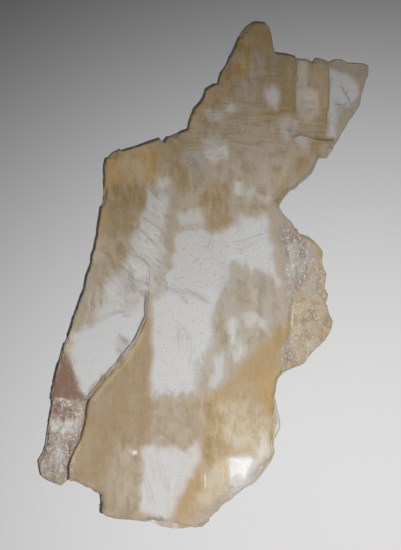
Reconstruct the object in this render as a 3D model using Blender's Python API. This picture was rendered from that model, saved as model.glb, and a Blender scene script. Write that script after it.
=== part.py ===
"""A cleavage plate of selenite, lying flat: one crystal, broken into ledges where its leaves end.

The plate is one solid. It is a stack of six cleavage leaves, each with its own outline, fused
together. Shallow ramps, a planed rim, chips along the rims and small tilted flakes give it the
broken look of the real crystal. Outlines are in millimetres, seen from above, with +Y along the
plate's length. The finished mesh is moved so that its box is centred on the origin and its flat
underside lies at Z = 0.
"""

import math
import random

import bmesh
import bpy
from mathutils import Euler, Matrix, Vector, noise

MM = 0.001

# Heights of the leaves, in millimetres: each one laps LAP into the leaf below, so that they fuse
SOLE_TOP = 1.3
LOWER_TOP = 2.4
TERRACE_TOP = 2.9
MIDDLE_TOP = 3.9
UPPER_TOP = 5.0
CREST_TOP = 6.2
LAP = 0.25

# How ragged the broken edges are
EDGE_SPACING = 2.1
EDGE_JAG = 0.34
COARSE_WAVE = 3.1
FINE_WAVE = 1.1

PLATE_COLOUR = (0.80, 0.73, 0.60, 1.0)
PLATE_ROUGHNESS = 0.18
GYPSUM_IOR = 1.52

# Stretches of the plate's outline, clockwise from the foot of the prong
PRONG = [
    (4.5, 56), (5.5, 59.5), (7.5, 63), (9.5, 67), (11.5, 71.5), (12.5, 73), (14, 74), (16, 74.5),
    (18.5, 74), (19.5, 73), (20, 71), (20.5, 68), (21, 65.5),
]
FAR_EDGE = [(22, 65), (25, 65), (27.5, 64)]
FAR_EDGE_MIDDLE = [(31, 63.5), (32.5, 62.8), (33.5, 64), (36.5, 63.5)]
FAR_EDGE_TIP = [(37.5, 63), (39.5, 63.7), (41.5, 63.5), (43, 62.5), (45.5, 62.5), (47.5, 62)]
TIP_SIDE = [(49, 61.5), (49, 59), (48, 56), (47, 53), (46.5, 50), (43.5, 45.5), (41, 41.5)]
NECK = [
    (38.5, 37.5), (36.5, 34.5), (34, 34.5), (33, 32), (32, 30), (30, 28.5), (27, 25.5),
    (25.5, 25), (23.5, 22.5), (22.5, 20.5),
]
SHELF = [
    (23.5, 18), (26.5, 15.5), (27.5, 13.5), (29, 12), (31.5, 11), (34.5, 8.5), (35.5, 7),
    (35.2, 4), (36.5, 0.5), (36, -4), (37, -5.5), (36.5, -8), (37.5, -11.5), (38.5, -13.5),
    (37.5, -17), (34.5, -21), (31.5, -23.5), (30, -26), (27, -27), (24.5, -28),
]
HIP = [(22, -30), (21.5, -31.5), (21, -35.5)]
THIN_FLAKE = [(22, -39), (23, -45), (21, -49)]
UNDER_FLAKE = [(20.6, -42), (20.4, -49)]
HEEL_RIGHT = [
    (21, -52), (19, -56), (16.5, -59.5), (14, -62), (10.5, -64), (8, -66), (5.5, -68), (2, -71.5),
    (-1, -74),
]
SLIVER = [(-5.5, -75), (-9, -75), (-12, -74.5), (-14, -73.5), (-15.5, -72.7)]
UNDER_SLIVER = [(-8, -72.6), (-15.5, -71.7)]
NEAR_EDGE = [(-17, -72), (-22, -71.5), (-26.5, -71), (-29.5, -70)]
NOTCH = [(-30, -68.5), (-30, -64), (-32.5, -62.5), (-35.5, -61), (-37.5, -60)]
CORNER = [
    (-39, -60), (-42, -62), (-45.5, -61), (-48, -59), (-48.5, -57.5), (-48.5, -55), (-47, -52.5),
    (-46, -48), (-45.5, -43), (-44.6, -37.5),
]
LEFT_SIDE = [
    (-45, -35.5), (-43.5, -29), (-42, -24), (-39.5, -17), (-38, -12.5), (-35, -4), (-33, 3.5),
    (-31.5, 10), (-30.5, 15.5), (-29.5, 22), (-29, 28.5), (-28.5, 34),
]
SHOULDER = [
    (-26.5, 36), (-24.5, 37), (-23.5, 36.5), (-17.5, 38.5), (-12.5, 40), (-11.5, 39),
    (-10.5, 40.5), (-6.5, 42), (-4.5, 43),
]
SHOULDER_NICK = [(-12.5, 40), (-11.5, 39)]
UPPER_SIDE = [(-3.5, 46.5), (-2.5, 49), (0, 51.5), (1, 54.5), (3.5, 56)]

# Where the leaves end inside the outline
TIP_CLEAVAGE = [(37.3, 63), (37.5, 56.5), (37, 49), (35.5, 41), (38.5, 37.5)]
FAR_CLEAVAGE = [(27.5, 64), (27.5, 58), (27, 49), (26, 40.5), (28.5, 41.5), (35.2, 39.5), (38.5, 37.5)]
SHELF_BREAK = [
    (24.5, 15.5), (26, 12.5), (28, 10.5), (29.5, 7.5), (30.5, 4), (30, 1), (28.5, -4.5),
    (27, -6), (26, -9.5), (25.5, -15.5), (25, -20), (24.5, -24.5), (24, -28),
]
UPPER_BREAK = [(40.5, 40.7), (-5.0, 39.5)]
CREST_BREAK = [(22.2, 19.0), (-15.6, 16.0)]
WINDOW_STEP = [
    (-16.5, -7.5), (-16.5, -12), (-18, -15.5), (-19.5, -19), (-22, -22), (-24.5, -25.5),
    (-27.5, -28.5), (-30, -32), (-33, -35.5), (-34, -39.5), (-34.5, -43.5), (-36, -48),
    (-37.5, -51), (-38.5, -53), (-39.5, -56.5), (-39, -60),
]
SPINE_FOOT = (-16, 1.5)
SPINE = [(-15.5, 39), (-15.5, 22), SPINE_FOOT]
CORNER_BREAK = [(-34, -36.5), (-38, -36), (-41, -37), (-44.6, -36.5)]

# The far half of the shelf stands a little higher: it ends at a crack across the shelf
TERRACE_FAR_POINT = (20.5, 18)
TERRACE_NEAR_POINT = (22, -2)
TERRACE_SHELF_POINTS = 12
TERRACE_CRACK = [(36.9, -9.6), (34.6, -9.2), (32.2, -7.9), (30.2, -7.2), (27.3, -7.0), (24.5, -6.5)]

# The shelf's glittering slope: how far each higher leaf stops short of the break, and where
SLOPE_MIDDLE_Y = 5.0
SLOPE_HALF_LENGTH = 11.0
UPPER_RETREAT = 2.6
CREST_RETREAT = 5.2

# The ramp that planes the spine down to the window on the left: its lower line, from where it
# runs out at the crest, through the turn, to the shoulder
RAMP_LINE = [(-17.8, -17.0, CREST_TOP), (-16.3, 4.0, MIDDLE_TOP), (-15.0, 42.0, MIDDLE_TOP)]
RAMP_SLOPE_DEG = 11.0
RAMP_WIDTH = 34.0

# Two more ramps fall to the far end, where the upper leaves thin out: their lower lines
FAR_RAMPS = [
    [(-14.0, 39.3, MIDDLE_TOP), (46.0, 40.9, MIDDLE_TOP)],
    [(-22.0, 15.5, UPPER_TOP), (30.0, 19.6, UPPER_TOP)],
]
FAR_SLOPE_DEG = 7.0

# The planed rim at the near right: its upper line from left to right, and how steeply it falls
RIM_LINE = [
    (-0.3, -68.5, CREST_TOP), (7.8, -62.4, CREST_TOP), (14.3, -58.6, CREST_TOP),
    (21.5, -51.6, CREST_TOP),
]
RIM_SLOPE_DEG = 48.0
CUTTER_SIZE = 14.0
CUTTER_LAP = 0.6

# Chips: faceted spheres that bite into the rims. Each is (x, y, height of its centre, radius)
PLACED_CHIPS = [
    (23.5, -40, 13.5, 8.6), (-30.5, -71.5, 9.5, 5.2), (22.5, 74.5, 7.6, 4.5), (9.0, 73.0, 8.6, 5.4),
    (49.5, 44, 5.6, 4.9), (-29.5, 37.5, 8.2, 5.1), (-11.8, 41.5, 6.8, 3.6), (29, 24, 8.0, 4.2),
]
UNCHIPPED = ("shelf_terrace", "middle_leaf")
CHIP_SEED = 11
CHIP_COUNT = 60
CHIP_RADIUS = (2.6, 6.0)
CHIP_BITE = (0.35, 1.05)
CHIP_LEAN_DEG = (25, 60)

# Flakes: small tilted plates fused to the rough patches. Each is (centre, half size, top, count)
FLAKE_PATCHES = [
    ((-41.5, -49.0), (4.6, 11.0), LOWER_TOP, 46),
    ((28.5, 5.5), (3.6, 7.0), TERRACE_TOP, 22),
    ((26.8, -23.5), (1.8, 3.4), LOWER_TOP, 9),
    ((32.0, -15.0), (4.4, 4.5), LOWER_TOP, 7),
]
FLAKE_SEED = 8
FLAKE_RADIUS = (0.6, 1.5)
FLAKE_THICKNESS = 1.0
FLAKE_TILT_DEG = 19.0
FLAKE_RISE = (-0.25, 0.1)
FLAKE_STRETCH = (1.4, 2.8)
FLAKE_LEAN_DEG = 28.0
FLAKE_ROOM = 0.6
FLAKE_SIDES = (4, 5, 6)


def clear_scene():
    """Removes every object that the file opened with."""
    for thing in list(bpy.data.objects):
        bpy.data.objects.remove(thing, do_unlink=True)


def new_collection(name):
    """A collection under the scene's own."""
    made = bpy.data.collections.new(name)
    bpy.context.scene.collection.children.link(made)
    return made


def ragged(points, seed, jag, inset):
    """A closed outline with points every EDGE_SPACING, moved in and out along its own normal."""
    fine = []
    for start, end in zip(points, points[1:] + points[:1]):
        start, end = Vector(start), Vector(end)
        steps = max(1, round((end - start).length / EDGE_SPACING))
        fine += [start.lerp(end, step / steps) for step in range(steps)]
    moved = []
    for index, point in enumerate(fine):
        along = (fine[(index + 1) % len(fine)] - fine[index - 1]).normalized()
        inward = Vector((along.y, -along.x))
        place = Vector((point.x, point.y, seed * 9.7))
        bumps = noise.noise(place / COARSE_WAVE) + 0.6 * noise.noise(place / FINE_WAVE)
        moved.append(point + inward * (inset + jag * bumps))
    return moved


def solid_from_outline(name, outline, low, high, collection):
    """A flat prism on an outline: a filled 2D curve, extruded and made a closed mesh."""
    curve = bpy.data.curves.new(name, "CURVE")
    curve.dimensions = "2D"
    curve.fill_mode = "BOTH"
    curve.extrude = (high - low) / 2 * MM
    spline = curve.splines.new("POLY")
    spline.points.add(len(outline) - 1)
    for point, place in zip(spline.points, outline):
        point.co = (place[0] * MM, place[1] * MM, 0, 1)
    spline.use_cyclic_u = True
    drawn = bpy.data.objects.new(name, curve)
    drawn.location.z = (high + low) / 2 * MM
    collection.objects.link(drawn)
    bpy.context.view_layer.update()
    evaluated = drawn.evaluated_get(bpy.context.evaluated_depsgraph_get())
    mesh = bpy.data.meshes.new_from_object(evaluated)
    mesh.transform(drawn.matrix_world)
    bpy.data.objects.remove(drawn)
    weld(mesh)
    solid = bpy.data.objects.new(name, mesh)
    collection.objects.link(solid)
    return solid


def weld(mesh):
    """Joins a curve's loose caps to its walls and turns every face outwards."""
    shape = bmesh.new()
    shape.from_mesh(mesh)
    bmesh.ops.remove_doubles(shape, verts=shape.verts, dist=1e-7)
    bmesh.ops.recalc_face_normals(shape, faces=shape.faces)
    shape.to_mesh(mesh)
    shape.free()


def retreated(line, reach):
    """The shelf's break, drawn back by reach where the slope is widest."""
    moved = []
    for x, y in line:
        share = max(0.0, 1 - ((y - SLOPE_MIDDLE_Y) / SLOPE_HALF_LENGTH) ** 2)
        moved.append((x - reach * share, y))
    return moved


def leaf_outlines():
    """Each leaf: name, outline, lowest and highest level, seed of its edge, inset of its edge."""
    near = HIP + UNDER_FLAKE + HEEL_RIGHT + UNDER_SLIVER + NEAR_EDGE
    sole = (
        PRONG + FAR_EDGE + FAR_EDGE_MIDDLE + FAR_EDGE_TIP + TIP_SIDE + NECK + SHELF + HIP
        + THIN_FLAKE + HEEL_RIGHT + SLIVER + NEAR_EDGE + NOTCH + CORNER + LEFT_SIDE + SHOULDER
        + UPPER_SIDE
    )
    lower = (
        PRONG + FAR_EDGE + FAR_EDGE_MIDDLE + TIP_CLEAVAGE + NECK[1:] + SHELF + near + NOTCH
        + CORNER + LEFT_SIDE + SHOULDER + UPPER_SIDE
    )
    terrace = (
        [TERRACE_FAR_POINT] + SHELF[:TERRACE_SHELF_POINTS] + TERRACE_CRACK + [TERRACE_NEAR_POINT]
    )
    middle = (
        PRONG + FAR_EDGE + FAR_CLEAVAGE + NECK[1:] + SHELF_BREAK + near + NOTCH
        + WINDOW_STEP[:7:-1] + CORNER_BREAK + LEFT_SIDE[1:] + SHOULDER + UPPER_SIDE
    )
    left = WINDOW_STEP[::-1] + SPINE[::-1]
    upper = (
        UPPER_BREAK[::-1] + NECK + retreated(SHELF_BREAK, UPPER_RETREAT) + near
        + NOTCH + left + SHOULDER_NICK
    )
    crest = (
        CREST_BREAK[::-1] + retreated(SHELF_BREAK, CREST_RETREAT) + near + NOTCH
        + WINDOW_STEP[::-1] + [SPINE_FOOT]
    )
    return [
        ("sole", sole, 0.0, SOLE_TOP, 1, 0.0),
        ("lower_leaf", lower, SOLE_TOP - LAP, LOWER_TOP, 2, 0.22),
        ("shelf_terrace", terrace, LOWER_TOP - LAP, TERRACE_TOP, 5, 0.35),
        ("middle_leaf", middle, LOWER_TOP - LAP, MIDDLE_TOP, 3, 0.1),
        ("upper_leaf", upper, MIDDLE_TOP - LAP, UPPER_TOP, 4, 0.3),
        ("crest_leaf", crest, UPPER_TOP - LAP, CREST_TOP, 6, 0.16),
    ]


def add_solid(name, shape, matrix, collection):
    """An object of a bmesh that a matrix places in millimetres, shown as a wire helper."""
    bmesh.ops.transform(shape, matrix=Matrix.Scale(MM, 4) @ matrix, verts=shape.verts)
    bmesh.ops.recalc_face_normals(shape, faces=shape.faces)
    mesh = bpy.data.meshes.new(name)
    shape.to_mesh(mesh)
    shape.free()
    helper = bpy.data.objects.new(name, mesh)
    helper.hide_render = True
    helper.display_type = "WIRE"
    collection.objects.link(helper)
    return helper


def facet_cutter(name, start, end, slope_deg, width, shift, uphill, collection):
    """A box that lies on a plane through start and end, which rises at a slope to one side.

    The box is centred on the line, runs CUTTER_LAP longer so that neighbours meet, and is then
    moved by shift up the slope. uphill is 1 where the plane rises to the right of start to end,
    and -1 to the left.
    """
    start, end = Vector(start), Vector(end)
    along = (end - start).normalized()
    right = along.cross(Vector((0, 0, 1))).normalized() * uphill
    slope = math.radians(slope_deg)
    rising = right * math.cos(slope) + Vector((0, 0, math.sin(slope)))
    normal = along.cross(rising).normalized() * -uphill
    up_slope = normal.cross(along) * -uphill
    turned = Matrix((along, up_slope, normal)).transposed().to_4x4()
    middle = (start + end) / 2 + up_slope * shift + normal * CUTTER_SIZE / 2
    size = Matrix.Diagonal(((end - start).length + CUTTER_LAP, width, CUTTER_SIZE, 1))
    shape = bmesh.new()
    bmesh.ops.create_cube(shape, size=1)
    return add_solid(name, shape, Matrix.Translation(middle) @ turned @ size, collection)


def chip_cutter(name, place, radius, turn, collection):
    """A twenty-sided stone: what it cuts away leaves flat facets a few millimetres wide."""
    shape = bmesh.new()
    bmesh.ops.create_icosphere(shape, subdivisions=1, radius=radius)
    placed = Matrix.Translation(place) @ Euler(turn).to_matrix().to_4x4()
    return add_solid(name, shape, placed, collection)


def cut_chips(outlines, collection):
    """Bites along the rims, placed ones first and then seeded ones on the leaves' own edges."""
    draw = random.Random(CHIP_SEED)
    for index, (x, y, z, radius) in enumerate(PLACED_CHIPS):
        turn = [draw.uniform(0, math.pi) for _ in range(3)]
        chip_cutter(f"placed_chip_{index}", (x, y, z), radius, turn, collection)
    for index in range(CHIP_COUNT):
        outline, top = draw.choice(outlines)
        spot = draw.randrange(len(outline))
        along = (outline[(spot + 1) % len(outline)] - outline[spot - 1]).normalized()
        outward = Vector((-along.y, along.x))
        radius, bite = draw.uniform(*CHIP_RADIUS), draw.uniform(*CHIP_BITE)
        lean = math.radians(draw.uniform(*CHIP_LEAN_DEG))
        centre = outline[spot] + outward * (radius - bite) * math.cos(lean)
        height = top + (radius - bite) * math.sin(lean)
        turn = [draw.uniform(0, math.pi) for _ in range(3)]
        chip_cutter(f"chip_{index}", (*centre, height), radius, turn, collection)


def room_at(place, outline):
    """How far a place is from an outline's nearest point."""
    return min((corner - place).length for corner in outline)


def grow_flakes(rim, collection):
    """Small tilted plates of four to six sides, half sunk in the rough patches, inside the rim."""
    draw = random.Random(FLAKE_SEED)
    tilt = math.radians(FLAKE_TILT_DEG)
    lean = math.radians(FLAKE_LEAN_DEG)
    for patch, (centre, half, top, count) in enumerate(FLAKE_PATCHES):
        for index in range(count):
            x = centre[0] + draw.uniform(-1, 1) * half[0]
            y = centre[1] + draw.uniform(-1, 1) * half[1]
            z = top + draw.uniform(*FLAKE_RISE)
            radius = draw.uniform(*FLAKE_RADIUS)
            longer = draw.uniform(*FLAKE_STRETCH)
            turn = (draw.uniform(-tilt, tilt), draw.uniform(-tilt, tilt), draw.uniform(-lean, lean))
            sides = draw.choice(FLAKE_SIDES)
            if room_at(Vector((x, y)), rim) < radius * longer * FLAKE_ROOM:
                continue
            shape = bmesh.new()
            bmesh.ops.create_cone(
                shape, cap_ends=True, segments=sides, radius1=radius, radius2=radius,
                depth=FLAKE_THICKNESS
            )
            stretch = Matrix.Diagonal((1, longer, 1, 1))
            placed = Matrix.Translation((x, y, z)) @ Euler(turn).to_matrix().to_4x4() @ stretch
            add_solid(f"flake_{patch}_{index}", shape, placed, collection)


def boolean(target, name, operation, operand):
    """A Boolean modifier with one object or a whole collection.

    The leaves' rims all but coincide, which only the manifold solver fuses cleanly.
    """
    modifier = target.modifiers.new(name, "BOOLEAN")
    modifier.solver = "MANIFOLD"
    modifier.operation = operation
    if isinstance(operand, bpy.types.Collection):
        modifier.operand_type = "COLLECTION"
        modifier.collection = operand
    else:
        modifier.object = operand


def plate_material():
    """Clear gypsum with a straw tint."""
    made = bpy.data.materials.new("selenite")
    made.use_nodes = True
    shader = made.node_tree.nodes["Principled BSDF"]
    shader.inputs["Base Color"].default_value = PLATE_COLOUR
    shader.inputs["Roughness"].default_value = PLATE_ROUGHNESS
    shader.inputs["Metallic"].default_value = 0.0
    shader.inputs["IOR"].default_value = GYPSUM_IOR
    shader.inputs["Transmission Weight"].default_value = 1.0
    return made


def settle(plate):
    """Centres the cut plate's box on the origin, seen from above."""
    bpy.context.view_layer.update()
    evaluated = plate.evaluated_get(bpy.context.evaluated_depsgraph_get())
    corners = [Vector(corner) for corner in evaluated.bound_box]
    low = Vector([min(corner[axis] for corner in corners) for axis in range(3)])
    high = Vector([max(corner[axis] for corner in corners) for axis in range(3)])
    plate.location = (-(low.x + high.x) / 2, -(low.y + high.y) / 2, -low.z)


def main():
    clear_scene()
    plate_collection = new_collection("selenite")
    leaf_collection = new_collection("leaves")
    cutter_collection = new_collection("cutters")
    chip_collection = new_collection("chips")
    flake_collection = new_collection("flakes")

    outlines = []
    leaves = []
    for name, points, low, high, seed, inset in leaf_outlines():
        outline = ragged(points, seed, EDGE_JAG, inset)
        if name not in UNCHIPPED:
            outlines.append((outline, high))
        leaves.append(solid_from_outline(name, outline, low, high, leaf_collection))

    facets = [
        facet_cutter(
            f"ramp_{index}", start, end, RAMP_SLOPE_DEG, RAMP_WIDTH, RAMP_WIDTH / 2, 1,
            cutter_collection
        )
        for index, (start, end) in enumerate(zip(RAMP_LINE, RAMP_LINE[1:]))
    ]
    facets += [
        facet_cutter(
            f"far_ramp_{index}", start, end, FAR_SLOPE_DEG, RAMP_WIDTH, RAMP_WIDTH / 2, 1,
            cutter_collection
        )
        for index, (start, end) in enumerate(FAR_RAMPS)
    ]
    facets += [
        facet_cutter(
            f"rim_{index}", start, end, RIM_SLOPE_DEG, CUTTER_SIZE, 0, -1, cutter_collection
        )
        for index, (start, end) in enumerate(zip(RIM_LINE, RIM_LINE[1:]))
    ]
    grow_flakes(outlines[0][0], flake_collection)
    cut_chips(outlines, chip_collection)

    plate = leaves[0]
    leaf_collection.objects.unlink(plate)
    plate_collection.objects.link(plate)
    plate.name = "selenite_plate"
    plate.data.materials.append(plate_material())
    for leaf in leaves[1:]:
        leaf.hide_render = True
        leaf.display_type = "WIRE"
        boolean(plate, leaf.name, "UNION", leaf)
    for facet in facets:
        boolean(plate, facet.name, "DIFFERENCE", facet)
    boolean(plate, "flakes", "UNION", flake_collection)
    boolean(plate, "chips", "DIFFERENCE", chip_collection)
    settle(plate)


main()
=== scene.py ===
"""Looks for a cleavage plate of selenite that lies flat on a pale floor, lit by one small lamp.

The plate keeps the shape of its solid. Its faces are cut fine enough to carry the relief of the
cleavage and, at each point of the upper side, the stone's tint, clarity and frosting. These come
from zones and strokes placed over the photograph: their outlines are in the photograph's
pixels, and one scale and one centre turn them into the plate's metres. A second, weak lamp only
gives the highlight on the polished top.
"""

import math

import bmesh
import bpy
import numpy as np
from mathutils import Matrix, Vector


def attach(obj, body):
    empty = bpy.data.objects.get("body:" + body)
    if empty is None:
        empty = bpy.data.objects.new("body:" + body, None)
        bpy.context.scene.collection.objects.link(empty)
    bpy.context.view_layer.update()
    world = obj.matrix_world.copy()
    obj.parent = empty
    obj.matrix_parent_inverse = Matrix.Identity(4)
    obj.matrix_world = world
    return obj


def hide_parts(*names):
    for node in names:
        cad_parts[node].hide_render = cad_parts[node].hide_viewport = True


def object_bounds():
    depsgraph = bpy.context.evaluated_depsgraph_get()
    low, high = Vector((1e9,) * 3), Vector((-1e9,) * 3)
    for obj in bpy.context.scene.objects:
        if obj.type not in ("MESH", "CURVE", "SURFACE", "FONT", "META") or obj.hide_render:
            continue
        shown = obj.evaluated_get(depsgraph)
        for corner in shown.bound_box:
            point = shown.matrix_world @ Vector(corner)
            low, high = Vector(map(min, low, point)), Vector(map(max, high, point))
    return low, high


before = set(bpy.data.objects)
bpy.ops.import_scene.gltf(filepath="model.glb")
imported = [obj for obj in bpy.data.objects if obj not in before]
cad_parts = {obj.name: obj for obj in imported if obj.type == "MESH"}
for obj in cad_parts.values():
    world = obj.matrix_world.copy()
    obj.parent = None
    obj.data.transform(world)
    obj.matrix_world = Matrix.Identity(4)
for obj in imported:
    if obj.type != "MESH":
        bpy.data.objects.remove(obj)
CAD_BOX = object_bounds()

MM = 0.001

# The photograph: its size, the metres that a pixel covers on the floor, and the pixel over the
# centre of the plate's box
PHOTO_SIZE = (401, 550)
PHOTO_MIDDLE_PX = (PHOTO_SIZE[0] / 2, PHOTO_SIZE[1] / 2)
PIXEL = 0.2964 * MM
PLATE_CENTRE_PX = (203.4, 275.8)

# Camera, over the floor
CAMERA_HEIGHT = 0.47
SENSOR = 36.0
CLIP_START = 0.01

# The lamp that lights the plate, and the floor's pixel that it is turned to
LAMP_PX = (385, 410)
LAMP_AIM_PX = (350, 700)
LAMP_HEIGHT = 0.35
LAMP_RADIUS = 8 * MM
LAMP_POWER = 4.8
LAMP_CONE_DEG = 80.0
LAMP_COLOUR = (1.0, 0.995, 0.99)
SKY = (0.072, 0.073, 0.076)

# The weak lamp that the polished faces mirror, and the pixel of its mirror image
GLOW_PX = (243, 467)
GLOW_HEIGHT = 0.30
GLOW_RADIUS = 7 * MM
GLOW_POWER = 0.0118

FLOOR_SIZE = 1.6
FLOOR_DROP = 0.25 * MM
FLOOR_COLOUR = (0.70, 0.70, 0.70, 1)
FLOOR_ROUGHNESS = 0.9
FLOOR_SPECULAR = 0.1

# Fine mesh: the grid's cell, the greatest bend of a flat face, the greatest gap between points that
# are one, the height up to which a point is the underside's, and the least bend of a sharp edge
CELL = 0.85 * MM
FLAT_DEG = 0.1
WELD = 0.001 * MM
UNDERSIDE = 0.05 * MM
SHARP_DEG = 32.0

# Folds and steps lower than this are rounded, in passes that each go a share of the way
LOW_STEP = 0.45 * MM
FOLD_PASSES = 14
FOLD_SHARE = 0.5

# Strokes: how fine the mesh gets under them, how soft their sides and ends are, and the share of
# the zones' wander that bends them
STROKE_PASSES = 2
STROKE_CELL = 0.30 * MM
STROKE_REACH_PX = 1.0
STROKE_EDGE_PX = 0.8
STROKE_SOFTNESS = 0.5
STROKE_TAPER_PX = 6.0
STROKE_END_SHARE = 0.25
STROKE_BEND = 0.25

# Keeps a length above zero
TINY = 1e-12

# Soft noise: the lattice's table, and a shift that keeps its places above zero
NOISE_TABLE = 64
NOISE_SHIFT = 1000

# Layers of soft noise: (reach, size across, size along, seed). The relief fades out towards the
# underside and stays under the top of the plate's box
RELIEF = [
    (0.016 * MM, 9.0 * MM, 30.0 * MM, 1),
    (0.003 * MM, 2.2 * MM, 16.0 * MM, 2),
    (0.002 * MM, 3.0 * MM, 2.0 * MM, 3),
]
RELIEF_FADE = 1.5 * MM
TOP_ROOM = 0.02 * MM
CRUMBS = [(1.0, 1.6 * MM, 2.2 * MM, 4)]
CRUMB_SINK = 0.2

# How the edges of zones wander, and the edge softness from which they wander fully
WANDER_X = [(0.9 * MM, 5.0 * MM, 7.0 * MM, 7), (0.8 * MM, 1.9 * MM, 2.5 * MM, 8)]
WANDER_Y = [
    (1.3 * MM, 6.0 * MM, 8.0 * MM, 9), (1.1 * MM, 1.8 * MM, 3.0 * MM, 10),
    (1.8 * MM, 1.0 * MM, 9.0 * MM, 11),
]
FULL_WANDER_PX = 5

# Optical values of gypsum, and the honey colour that builds up with thickness
IOR = 1.52
HONEY = (0.95, 0.90, 0.78, 1)
HONEY_DENSITY = 5.0

# Colours of the light waves, the painted glints, and the dark waves and hair lines
PALE = (0.80, 0.765, 0.70, 1)
PAINTED_GLINT_COLOUR = (0.97, 0.95, 0.92, 1)
SHADE = (0.60, 0.55, 0.49, 1)

# The upright share of a face's normal where the lamp's light stops, and where all of it passes
RIM_STEEPNESS = (0.30, 0.60)

# Waves in the stone: size across, size along, turn in degrees, detail, roughness, distortion, and
# how far from the middle of the noise they swing
WAVES = {
    "grain": (0.45 * MM, 5.0 * MM, -1, 3, 0.6, 0.0, 0.14),
    "bands": (1.7 * MM, 15.0 * MM, -1, 3, 0.6, 0.0, 0.14),
    "clouds": (3.2 * MM, 4.2 * MM, 0, 4, 0.62, 0.5, 0.14),
    "fine": (0.40 * MM, 0.55 * MM, 0, 2, 0.6, 0.0, 0.14),
    "lenses": (2.3 * MM, 4.0 * MM, 6, 4, 0.55, 0.5, 0.11),
    "strands": (5.5 * MM, 0.42 * MM, -3, 3, 0.6, 0.3, 0.10),
    "plumes": (4.2 * MM, 1.5 * MM, -48, 3, 0.5, 0.5, 0.10),
}

# How strongly waves change the tint: everywhere, and in the patches with a pattern of their own
EVERYWHERE = {"grain": 0.12, "bands": 0.14, "clouds": 0.34, "fine": 0.22}
PATTERNS = {"patchy": ("lenses", 0.58), "streaked": ("strands", 0.42), "plumed": ("plumes", 0.80)}
IN_HAZE = 1.6
IN_CLEAR = 0.14
LIGHTEST = 0.75
DARKEST = 0.85

# Hair lines and specks: sizes of the net, its bends, its breaks and the specks, and the ranges of
# noise or distance over which each sets in
HAIR_NET = (2.4 * MM, 3.4 * MM)
HAIR_BENDS = (1.6 * MM, 1.6 * MM)
HAIR_WIDTH = (0.015, 0.05)
HAIR_BREAKS = (1.5 * MM, 1.1 * MM, 20)
BREAK_RANGE = (0.52, 0.60)
SPECKS = (0.34 * MM, 0.34 * MM)
SPECK_RANGE = (0.70, 0.78)
HAIR_DARKNESS = 0.85
HAIR_BLOCK = 0.25

# Glitter painted into the tint as highlights: sizes of the glints and of their clumps, and the ranges
# over which each sets in
GLINTS = (0.42 * MM, 0.50 * MM)
GLINT_RANGE = (0.60, 0.85)
CLUMPS = (1.5 * MM, 2.2 * MM)
CLUMP_RANGE = (0.38, 0.54)
GLINT_SHARE = 0.90

# Milkiness, wear and bump
MILK_SWING = 0.25
MILK_CLOUDS = 0.10
WEAR = 0.02
BUMP_GRAIN = 0.05
BUMP_STRANDS = 0.10
BUMP_PLUMES = 0.15
BUMP_CRUMBS = 6.0
BUMP_STRENGTH = 0.35
BUMP_HEIGHT = 0.06 * MM

# Looks: tint in linear light, clarity from milky 0 to clear 1, frosting as roughness
CLEAR = ((0.99, 0.995, 1.0), 0.955, 0.05)
MILKY = ((0.88, 0.865, 0.835), 0.65, 0.07)
WARM = ((0.89, 0.795, 0.645), 0.66, 0.07)
WHITE = ((0.86, 0.845, 0.82), 0.45, 0.09)
SMOKE = ((0.64, 0.62, 0.59), 0.7, 0.08)
HAZE = ((0.65, 0.555, 0.43), 0.55, 0.07)
BEIGE = ((0.6, 0.503, 0.375), 0.5, 0.08)
BROWN = ((0.515, 0.375, 0.18), 0.5, 0.08)
DARK = ((0.36, 0.29, 0.2), 0.55, 0.1)
OLIVE = ((0.53, 0.405, 0.215), 0.52, 0.07)
AMBER = ((0.715, 0.49, 0.205), 0.55, 0.07)
ORANGE = ((0.74, 0.47, 0.17), 0.5, 0.08)
HONEYED = ((0.54, 0.41, 0.255), 0.52, 0.07)
GOLD = ((0.65, 0.485, 0.27), 0.55, 0.07)
IVORY = ((0.78, 0.68, 0.5), 0.5, 0.08)
PINK = ((0.62, 0.46, 0.38), 0.5, 0.1)
RED = ((0.35, 0.215, 0.15), 0.48, 0.14)
TAN = ((0.61, 0.492, 0.35), 0.45, 0.16)
LILAC = ((0.515, 0.422, 0.35), 0.35, 0.22)
GLITTER = ((0.48, 0.42, 0.365), 0.38, 0.16)
# These two looks are painted highlights put into the tint: star-like glints, and the lamp's glare on
# facets and edges
PAINTED_STAR_GLINT = ((1.0, 0.98, 0.94), 0.05, 0.1)
LAMPLIT = ((0.9, 0.86, 0.78), 0.3, 0.08)

ZONE_SOFTNESS = 1.6

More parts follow.
